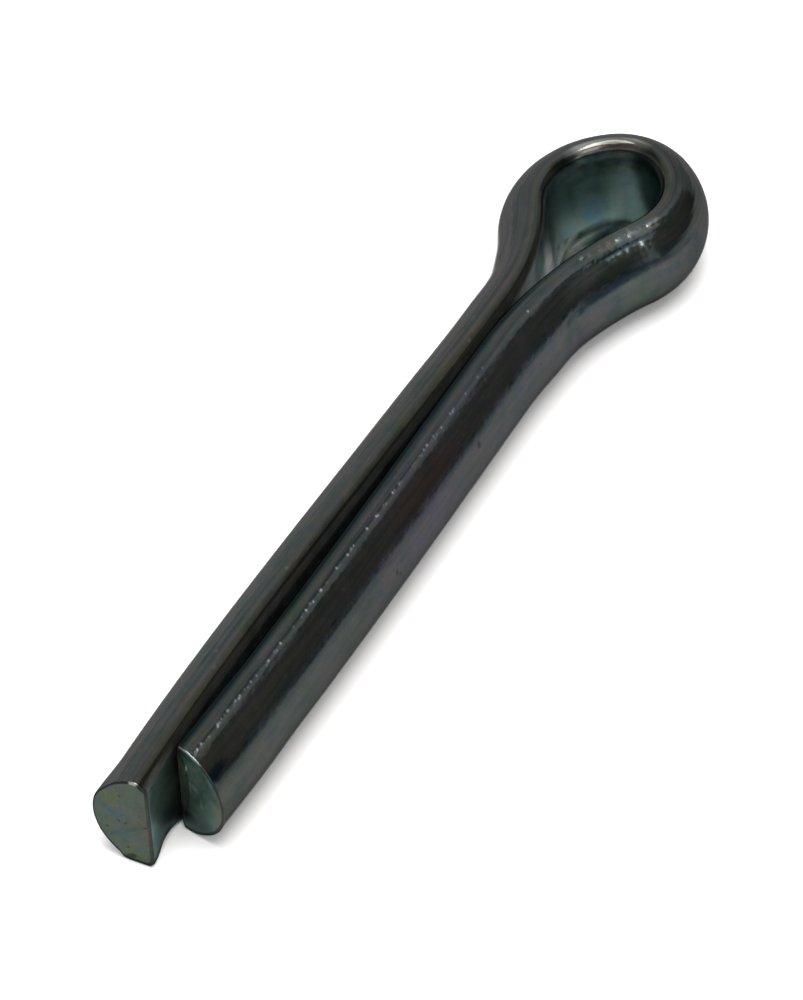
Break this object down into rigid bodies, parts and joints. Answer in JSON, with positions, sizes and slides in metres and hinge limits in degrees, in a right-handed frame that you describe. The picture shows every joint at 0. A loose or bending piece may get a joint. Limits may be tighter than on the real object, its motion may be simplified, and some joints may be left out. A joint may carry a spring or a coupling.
{
  "type": "cotter pin",
  "caption": "Split cotter pin of half-round wire, folded to a teardrop eye, with two straight legs of unequal length that make up a round shank.",
  "frame": {"origin": "on the shank's axis, where the short leg's neck bend is over and the full round shank begins", "axes": "+X along the shank towards the legs' ends, the way the pin goes in; +Y towards the short leg; +Z square to the plane the wire is bent in"},
  "size_m": [0.0895, 0.0183, 0.0092],
  "materials": {
    "zinc_plate": "drawn steel wire, zinc plated with a grey-green passivate, satin, with fine draw lines and small pits"
  },
  "bodies": {
    "root": {"cotter_pin": "zinc_plate"}
  },
  "joints": []
}
